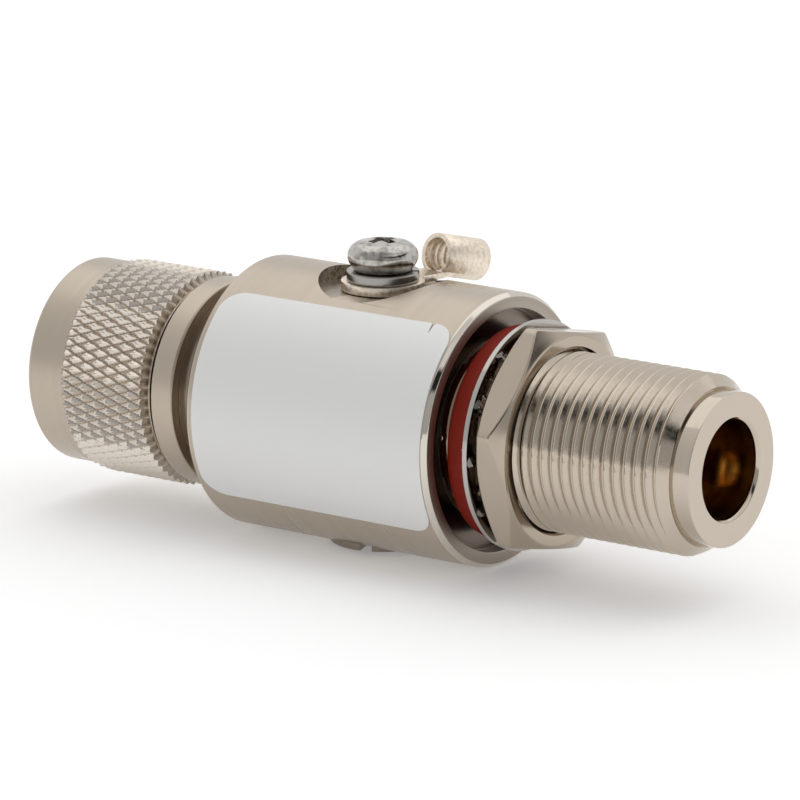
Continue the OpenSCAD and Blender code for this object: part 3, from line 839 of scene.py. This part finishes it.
def make_lug():
    """Ground lug: a ring, a tongue that rises and a crimp barrel that dips."""
    lug = revolve("lug_piece", cylinder(LUG_R, LUG_LOW, LUG_TOP), LUG_COLUMNS, along_z)
    end_low = LUG_LOW + TONGUE_RISE
    tongue = prism("tongue", [
        (LUG_HOLE_R, LUG_LOW),
        (LUG_HOLE_R + TONGUE_ROOT, LUG_LOW),
        (BARREL_OUT + TONGUE_LAP, end_low),
        (BARREL_OUT + TONGUE_LAP, end_low + BARREL_WALL),
        (LUG_HOLE_R + TONGUE_ROOT, LUG_TOP),
        (LUG_HOLE_R, LUG_TOP),
    ], -TONGUE_W / 2, TONGUE_W / 2)
    carve(lug, put(tongue, spun(RIGHT_ANGLE, "X")), "UNION")
    middle = end_low + BARREL_R * math.cos(BARREL_DIP)
    tip = at(BARREL_OUT, 0, middle) @ spun(RIGHT_ANGLE + BARREL_DIP, "Y")
    barrel = revolve("barrel", cylinder(BARREL_R, 0, BARREL_LEN), LUG_COLUMNS, along_z)
    carve(lug, put(barrel, tip), "UNION")
    hole = cylinder(LUG_HOLE_R, LUG_LOW - CUT, LUG_TOP + CUT)
    carve(lug, revolve("hole", hole, SMALL_COLUMNS, along_z))
    bore_r = BARREL_R - BARREL_WALL
    wall = [(0, -CUT), (bore_r, -CUT)]
    for k in range(SERRATION_COUNT):
        groove = SERRATION_STEP * (k + 1)
        wall += [
            (bore_r, groove - SERRATION_DEPTH),
            (bore_r + SERRATION_DEPTH, groove),
            (bore_r, groove + SERRATION_DEPTH),
        ]
    wall += [(bore_r, BARREL_LEN + CUT), (0, BARREL_LEN + CUT)]
    carve(lug, put(revolve("bore", wall, LUG_COLUMNS, along_z), tip))
    round_edges(lug, LUG_EDGE)
    put(lug, at(TAP_X, 0, 0) @ spun(LUG_TURN, "Z"))
    return stands_for(lug, "ground_lug", "lug", "tin")


def make_cap():
    """Slotted cap under the gas tube."""
    cap = revolve("cap_piece", [
        (0, CAP_FACE),
        (CAP_R - EDGE, CAP_FACE),
        (CAP_R, CAP_FACE + EDGE),
        (CAP_R, CAP_RIM_TOP),
        (CAP_SHANK_R, CAP_RIM_TOP),
        (CAP_SHANK_R, CAP_TOP),
        (0, CAP_TOP),
    ], TAP_COLUMNS, along_tap)
    reach = CAP_R + CUT
    cutter = prism("slot", rectangle(-reach, reach, CAP_SLOT_W / 2), -CUT, CAP_SLOT_DEPTH)
    put(cutter, at(TAP_X, 0, CAP_FACE) @ spun(CAP_SLOT_TURN, "Z"))
    carve(cap, cutter)
    return stands_for(cap, "tube_cap", "cap", "nickel")


def make_label():
    """Bare silver label around the housing, with rounded corners and a nick in its upper edge."""
    inner_r = BODY_R + SEAT_GAP
    half = inner_r * (LABEL_HIGH - LABEL_LOW) / 2
    middle = (LABEL_HIGH + LABEL_LOW) / 2
    straight = half - LABEL_CORNER
    fan = [LABEL_CORNER * math.sin(RIGHT_ANGLE * i / CORNER_STEPS) for i in range(1, CORNER_STEPS + 1)]
    around = [-straight - s for s in reversed(fan)]
    around += [-straight + 2 * straight * i / LABEL_STEPS for i in range(LABEL_STEPS + 1)]
    around += [straight + s for s in fan]
    verts = []
    for r in (inner_r, inner_r + LABEL_T):
        for s in around:
            past = max(0, abs(s) - straight)
            inset = LABEL_CORNER - math.sqrt(max(0, LABEL_CORNER ** 2 - past ** 2))
            left = LABEL_LEFT + inset
            right = LABEL_RIGHT - inset
            turn = -(middle + s / inner_r)
            for k in range(LABEL_ROWS + 1):
                verts.append(along_x(r, turn, left + (right - left) * k / LABEL_ROWS))
    count = len(around)

    def index(layer, i, k):
        """Number of the point in a layer at a step around and a row along."""
        return (layer * count + i) * (LABEL_ROWS + 1) + k

    faces = []
    for layer in (0, 1):
        for i in range(count - 1):
            for k in range(LABEL_ROWS):
                square = ((i, k), (i + 1, k), (i + 1, k + 1), (i, k + 1))
                faces.append(tuple(index(layer, *corner) for corner in square))
    border = [(0, k) for k in range(LABEL_ROWS)]
    border += [(i, LABEL_ROWS) for i in range(count - 1)]
    border += [(count - 1, k) for k in range(LABEL_ROWS, 0, -1)]
    border += [(i, 0) for i in range(count - 1, 0, -1)]
    for a, b in zip(border, border[1:] + border[:1]):
        faces.append((index(0, *a), index(0, *b), index(1, *b), index(1, *a)))
    label = new_piece("label_piece", verts, faces, smooth=40)
    nick_right = LABEL_RIGHT - LABEL_CORNER
    edge = inner_r * math.sin(half / inner_r)
    deep = inner_r * math.sin((half - NICK_DEPTH) / inner_r)
    cutter = prism("nick", [
        (nick_right, edge + CUT), (nick_right - NICK_W / 2, deep), (nick_right - NICK_W, edge + CUT),
    ], 0, BODY_R + CUT)
    put(cutter, spun(RIGHT_ANGLE - middle, "X"))
    carve(label, cutter, smooth=40)
    return stands_for(label, "rating_label", "base", "label")


def link(tree, a, out, b, socket):
    """Joins an output of one shader node to an input of another."""
    tree.links.new(a.outputs[out], b.inputs[socket])


def new_material(name):
    """Material with its node tree and its main shader."""
    mat = bpy.data.materials.new(name)
    mat.use_nodes = True
    return mat, mat.node_tree, mat.node_tree.nodes["Principled BSDF"]


def vector_math(tree, operation, second=None):
    """Vector Math node with its second value set where it has one."""
    node = tree.nodes.new("ShaderNodeVectorMath")
    node.operation = operation
    if second is not None:
        node.inputs[1].default_value = second
    return node


def new_noise(tree, scale, detail):
    """Noise texture that is not yet placed."""
    noise = tree.nodes.new("ShaderNodeTexNoise")
    noise.inputs["Scale"].default_value = scale
    noise.inputs["Detail"].default_value = detail
    return noise


def lathe_noise(tree, axis, scale, detail=2.0):
    """Noise in fine rings around the line or around the screw's axis, as a lathe tool leaves them."""
    coords = tree.nodes.new("ShaderNodeTexCoord")
    shift = vector_math(tree, "SUBTRACT", (0, 0, 0) if axis == "X" else (TAP_X * MM, 0, 0))
    link(tree, coords, "Object", shift, 0)
    flat = vector_math(tree, "MULTIPLY", (0, 1, 1) if axis == "X" else (1, 1, 0))
    link(tree, shift, "Vector", flat, 0)
    radius = vector_math(tree, "LENGTH")
    link(tree, flat, "Vector", radius, 0)
    parts = tree.nodes.new("ShaderNodeSeparateXYZ")
    link(tree, shift, "Vector", parts, 0)
    rings = tree.nodes.new("ShaderNodeCombineXYZ")
    link(tree, parts, axis, rings, "X")
    link(tree, radius, "Value", rings, "Y")
    noise = new_noise(tree, scale, detail)
    link(tree, rings, "Vector", noise, "Vector")
    return noise


def plain_noise(tree, scale, detail=3.0):
    """Noise that is even in all directions."""
    coords = tree.nodes.new("ShaderNodeTexCoord")
    noise = new_noise(tree, scale, detail)
    link(tree, coords, "Object", noise, "Vector")
    return noise


def map_range(tree, source, target, smooth=False):
    """Map Range node from one pair of values to another."""
    remap = tree.nodes.new("ShaderNodeMapRange")
    if smooth:
        remap.interpolation_type = "SMOOTHSTEP"
    remap.inputs["From Min"].default_value = source[0]
    remap.inputs["From Max"].default_value = source[1]
    remap.inputs["To Min"].default_value = target[0]
    remap.inputs["To Max"].default_value = target[1]
    return remap


def set_roughness(tree, noise, shader, rough):
    """Roughness that varies with noise between two values."""
    remap = map_range(tree, NOISE_RANGE, rough)
    link(tree, noise, "Fac", remap, "Value")
    link(tree, remap, "Result", shader, "Roughness")


def relief(tree, noise, height, target, strength=1.0):
    """Fine relief from noise, of a height in millimetres, on the normal of a shader or another relief."""
    bump = tree.nodes.new("ShaderNodeBump")
    bump.inputs["Strength"].default_value = strength
    bump.inputs["Distance"].default_value = height * MM
    link(tree, noise, "Fac", bump, "Height")
    link(tree, bump, "Normal", target, "Normal")
    return bump


def turned_metal(name, colour, rough, axis="X", lines=6000, strength=0.12):
    """Plated metal with fine lathe rings in its relief and coarser ones in its gloss."""
    mat, tree, shader = new_material(name)
    shader.inputs["Base Color"].default_value = (*colour, 1)
    shader.inputs["Metallic"].default_value = 1
    relief(tree, lathe_noise(tree, axis, lines), RING_RELIEF, shader, strength)
    set_roughness(tree, lathe_noise(tree, axis, lines / 4, detail=1.0), shader, rough)
    return mat


def grained_metal(name, colour, rough, grain=900, strength=0.08, metallic=1):
    """Plated metal with a fine even grain."""
    mat, tree, shader = new_material(name)
    shader.inputs["Base Color"].default_value = (*colour, 1)
    shader.inputs["Metallic"].default_value = metallic
    noise = plain_noise(tree, grain)
    relief(tree, noise, GRAIN_RELIEF, shader, strength)
    set_roughness(tree, noise, shader, rough)
    return mat


def worn_metal(name, light, dark, rough, dents, pits):
    """Plated metal with a mottled colour, shallow dents and fine pits, each a scale and a height."""
    mat, tree, shader = new_material(name)
    shader.inputs["Metallic"].default_value = 1
    dent_scale, dent_height = dents
    pit_scale, pit_height = pits
    fine = plain_noise(tree, pit_scale, detail=4.0)
    pitted = relief(tree, fine, pit_height, shader)
    relief(tree, plain_noise(tree, dent_scale, detail=2.0), dent_height, pitted)
    set_roughness(tree, fine, shader, rough)
    tint = tree.nodes.new("ShaderNodeValToRGB")
    for stop, place, colour in zip(tint.color_ramp.elements, MOTTLE, (dark, light)):
        stop.position = place
        stop.color = (*colour, 1)
    link(tree, fine, "Fac", tint, "Fac")
    link(tree, tint, "Color", shader, "Base Color")
    return mat


def soft_material(name, colour, roughness, grain=1500, strength=0.1):
    """Rubber, plastic or ceramic with a fine even grain."""
    mat, tree, shader = new_material(name)
    shader.inputs["Specular IOR Level"].default_value = SOFT_SPECULAR
    shader.inputs["Base Color"].default_value = (*colour, 1)
    shader.inputs["Roughness"].default_value = roughness
    relief(tree, plain_noise(tree, grain), GRAIN_RELIEF, shader, strength)
    return mat


def make_looks():
    """Material of each slot."""
    return {
        "nickel": turned_metal("nickel", NICKEL, (0.27, 0.37), strength=0.05),
        "bright_steel": turned_metal("bright_steel", (0.45, 0.43, 0.405), (0.08, 0.16), axis="Z"),
        "spring_steel": grained_metal("spring_steel", (0.42, 0.42, 0.42), (0.25, 0.4)),
        "tin": worn_metal(
            "tin", (0.9, 0.8, 0.68), (0.7, 0.6, 0.48), (0.3, 0.46), dents=(900, 0.1), pits=(2600, 0.03),
        ),
        "gold": turned_metal("gold", (0.8, 0.55, 0.2), (0.12, 0.22)),
        "copper_alloy": turned_metal("copper_alloy", (0.62, 0.4, 0.24), (0.25, 0.4)),
        "silicone": soft_material("silicone", (0.28, 0.018, 0.007), 0.55),
        "seal_rubber": soft_material("seal_rubber", (0.012, 0.012, 0.012), 0.5),
        "insulator": soft_material("insulator", (0.82, 0.81, 0.78), 0.45),
        "ceramic": soft_material("ceramic", (0.85, 0.83, 0.79), 0.35),
        "label": grained_metal(
            "label", (0.86, 0.857, 0.85), (0.5, 0.58), grain=2500, strength=0.03, metallic=0.4,
        ),
    }


def add_look(obj, mat):
    """Adds a material to a piece and gives its number."""
    obj.data.materials.append(mat)
    return len(obj.data.materials) - 1


def from_line(polygon):
    """Distance of a face from the line, in millimetres."""
    return math.hypot(polygon.center.y, polygon.center.z) / MM


def dress_housing(housing):
    """Looks of the housing's nose, bore, recess, rim, bevels and pocket, beside its plain cylinder."""
    bright = add_look(housing, turned_metal("bright_nickel", BRIGHT_NICKEL, (0.07, 0.15), strength=0.06))
    # The pocket's walls are darkened with painted shade, and mottled and dented as a worn surface
    worn_pocket_shade = add_look(housing, worn_metal(
        "pocket_wear_and_shade", (0.34, 0.3, 0.25), (0.14, 0.12, 0.1), (0.3, 0.45),
        dents=(900, 0.08), pits=(3000, 0.03),
    ))
    # Painted reflection: the bore is tinted gold to show the gold contact reflected in it
    gold_reflection = add_look(housing, turned_metal("bore_painted_reflection", (0.52, 0.315, 0.125), (0.14, 0.24)))
    # Painted shade: the recess behind the gasket is darkened in colour, as shade falls there
    recess_shade = add_look(housing, turned_metal("recess_painted_shade", (0.19, 0.155, 0.13), (0.16, 0.28)))
    # Painted highlight: the rim's bevel is lighter and whiter in colour, besides being glossier
    rim = add_look(housing, turned_metal("rim_painted_highlight", (0.66, 0.61, 0.54), (0.05, 0.11), strength=0.04))
    thread = add_look(housing, grained_metal(
        "thread_nickel", BRIGHT_NICKEL, (0.12, 0.22), grain=2200, strength=0.12
    ))
    # Painted shade: the panel face is darker in colour, besides being rougher
    face = add_look(housing, turned_metal("face_painted_shade", (0.4, 0.35, 0.3), (0.34, 0.46)))
    for polygon in housing.data.polygons:
        place = polygon.center.x / MM
        height = polygon.center.z / MM
        from_tap = math.hypot(place - TAP_X, polygon.center.y / MM)
        r = from_line(polygon)
        in_recess = THREAD_R + EDGE < r < RECESS_R + EDGE and -RECESS_DEPTH - EDGE < place < -EDGE
        in_pocket = from_tap < SPOT_R + EDGE and height > SPOT_FLOOR - EDGE
        if r < MOUTH_R:
            polygon.material_index = gold_reflection
        elif in_recess:
            polygon.material_index = recess_shade
        elif r > RECESS_R and place > -EDGE and polygon.normal.x > FLAT:
            polygon.material_index = face
        elif r > RECESS_R and place > -RIM_REACH:
            polygon.material_index = rim
        elif r > LEAD_R + EDGE and place > 0:
            polygon.material_index = thread
        elif place > -RECESS_DEPTH or place < RIM_REACH - BODY_LEN:
            polygon.material_index = bright
        elif in_pocket and polygon.normal.z < UPRIGHT:
            polygon.material_index = worn_pocket_shade


def dress_plug_nut(nut):
    """Diamond tops lightened with a painted highlight and glossier, and grooves darkened with painted
    shade and duller, on the knurl.
    """
    knurl = add_look(nut, grained_metal(
        "knurl_top_highlight", (0.67, 0.605, 0.533), (0.06, 0.16), grain=3000, strength=0.25
    ))
    groove = add_look(nut, grained_metal("knurl_groove_shade", (0.47, 0.418, 0.36), (0.14, 0.26), grain=3000))
    for polygon in nut.data.polygons:
        r = from_line(polygon)
        if r > KNURL_TOP_R:
            polygon.material_index = knurl
        elif r > NUT_RING_R + EDGE:
            polygon.material_index = groove


def dress_plug_shell(shell):
    """Neck darkened with painted shade, deep between the collar and the housing."""
    neck_shade = add_look(shell, turned_metal("neck_painted_shade", (0.26, 0.215, 0.17), (0.15, 0.25)))
    for polygon in shell.data.polygons:
        place = polygon.center.x / MM
        if NECK_END - EDGE < place < -BODY_LEN and from_line(polygon) < NECK_R + EDGE:
            polygon.material_index = neck_shade


def make_floor():
    """Pale floor that looks white where no shadow falls."""
    half = FLOOR_HALF * MM
    z = FLOOR_Z * MM
    corners = [(-half, -half, z), (half, -half, z), (half, half, z), (-half, half, z)]
    floor = new_piece("floor", corners, [(0, 1, 2, 3)])
    mat, tree, shader = new_material("floor")
    shader.inputs["Base Color"].default_value = (FLOOR_TONE, FLOOR_TONE, FLOOR_TONE, 1)
    shader.inputs["Roughness"].default_value = FLOOR_ROUGHNESS
    shader.inputs["Specular IOR Level"].default_value = 0
    shader.inputs["Emission Color"].default_value = (1, 1, 1, 1)
    path = tree.nodes.new("ShaderNodeLightPath")
    seen = tree.nodes.new("ShaderNodeMath")
    seen.operation = "MAXIMUM"
    link(tree, path, "Is Camera Ray", seen, 0)
    link(tree, path, "Is Glossy Ray", seen, 1)
    through = tree.nodes.new("ShaderNodeMath")
    through.operation = "MAXIMUM"
    link(tree, seen, "Value", through, 0)
    link(tree, path, "Is Transmission Ray", through, 1)
    glow = tree.nodes.new("ShaderNodeMath")
    glow.operation = "MULTIPLY"
    link(tree, through, "Value", glow, 0)
    glow.inputs[1].default_value = FLOOR_GLOW
    link(tree, glow, "Value", shader, "Emission Strength")
    floor.data.materials.append(mat)


def make_lamp():
    """Wide soft lamp above the part."""
    data = bpy.data.lights.new("top", "AREA")
    data.shape = "RECTANGLE"
    data.size = LAMP_SIZE[0] * MM
    data.size_y = LAMP_SIZE[1] * MM
    data.energy = LAMP_POWER
    lamp = bpy.data.objects.new("top", data)
    bpy.context.scene.collection.objects.link(lamp)
    lamp.location = LAMP_PLACE * MM
    lamp.rotation_euler = (-LAMP_PLACE).to_track_quat("-Z", "Y").to_euler()


def make_world():
    """Plain pale studio, dimmer behind the camera.

    On the nose's side it has bands: a pale wall, a dark gap, a bright strip and a pale ceiling.
    """
    world = bpy.data.worlds.new("studio")
    world.use_nodes = True
    bpy.context.scene.world = world
    tree = world.node_tree
    back = tree.nodes["Background"]
    coords = tree.nodes.new("ShaderNodeTexCoord")
    parts = tree.nodes.new("ShaderNodeSeparateXYZ")
    link(tree, coords, "Generated", parts, 0)
    bands = tree.nodes.new("ShaderNodeValToRGB")
    stops = bands.color_ramp.elements
    while len(stops) < len(WORLD_BANDS):
        stops.new(0.5)
    for stop, (place, level) in zip(stops, WORLD_BANDS):
        stop.position = place
        stop.color = (level, level, level, 1)
    link(tree, parts, "Z", bands, "Fac")
    side = map_range(tree, WORLD_SIDE, (0, 1), smooth=True)
    link(tree, parts, "X", side, "Value")
    mixed = tree.nodes.new("ShaderNodeMix")
    mixed.data_type = "RGBA"
    mixed.inputs[MIX_SECOND].default_value = (WORLD_PLAIN, WORLD_PLAIN, WORLD_PLAIN, 1)
    link(tree, side, "Result", mixed, MIX_FACTOR)
    link(tree, bands, "Color", mixed, MIX_FIRST)
    link(tree, mixed, MIX_RESULT, back, "Color")
    facing = vector_math(tree, "DOT_PRODUCT", TO_CAMERA)
    link(tree, coords, "Generated", facing, 0)
    fade = map_range(tree, WORLD_FADE, WORLD_LEVEL, smooth=True)
    link(tree, facing, "Value", fade, "Value")
    link(tree, fade, "Result", back, "Strength")


def make_camera():
    """Camera at the photograph's angle."""
    right = Vector((math.cos(VIEW_AZIMUTH), math.sin(VIEW_AZIMUTH), 0))
    up = TO_CAMERA.cross(right)
    target = right * AIM_RIGHT * MM + up * AIM_UP * MM
    data = bpy.data.cameras.new("camera")
    data.lens = CAMERA_LENS
    data.sensor_width = CAMERA_SENSOR
    data.clip_start = CAMERA_NEAR * MM
    data.clip_end = CAMERA_FAR * MM
    cam = bpy.data.objects.new("camera", data)
    bpy.context.scene.collection.objects.link(cam)
    axes = Matrix((right, up, TO_CAMERA)).transposed().to_4x4()
    cam.matrix_world = Matrix.Translation(target + TO_CAMERA * (CAMERA_DISTANCE * MM)) @ axes
    bpy.context.scene.camera = cam


# Pieces that take the place of CAD nodes
housing = make_housing()
plug_shell = make_plug_shell()
plug_nut = make_plug_nut()
make_gasket()
panel_nut = make_panel_nut()
screw = make_screw()
split_washer = make_split_washer()
make_lug()
cap = make_cap()
make_label()

# CAD nodes that stay, with their slots
CAD_LOOKS = {
    "snap_ring": "spring_steel",
    "male_gasket": "silicone",
    "male_pin": "gold",
    "male_bead": "insulator",
    "centre_rod": "copper_alloy",
    "female_bead": "insulator",
    "female_contact": "gold",
    "lock_washer": "bright_steel",
    "gap_ceramic": "ceramic",
    "gap_electrode_in": "copper_alloy",
    "gap_electrode_out": "copper_alloy",
    "disc_spring": "spring_steel",
    "cap_seal": "seal_rubber",
}
for node, slot in CAD_LOOKS.items():
    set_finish(nodes[node], slot)

# Every piece gets the look of its slot
looks = make_looks()
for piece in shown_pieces():
    piece.data.materials.clear()
    piece.data.materials.append(looks[piece["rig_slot"]])

# Some pieces have looks of their own besides
dress_housing(housing)
dress_plug_nut(plug_nut)
dress_plug_shell(plug_shell)

# The panel nut is milled finer than the turned housing
panel_nut.data.materials[0] = turned_metal("nut_nickel", (0.46, 0.395, 0.32), (0.12, 0.22), lines=3000)

# The screw's head is dented and rubbed by a driver
screw.data.materials[0] = worn_metal(
    "worn_steel", (0.52, 0.498, 0.465), (0.28, 0.263, 0.24), (0.1, 0.2),
    dents=(420, 0.13), pits=(1600, 0.012),
)

# The split washer is darker than the screw, and the cap is darkened with painted shade
split_washer.data.materials[0] = turned_metal("washer_steel", (0.36, 0.345, 0.325), (0.2, 0.3), axis="Z")
cap.data.materials[0] = turned_metal("cap_painted_shade", (0.3, 0.26, 0.21), (0.12, 0.24), axis="Z")

# Stage
make_floor()
make_lamp()
make_world()
make_camera()
bpy.context.scene.view_settings.view_transform = "Standard"
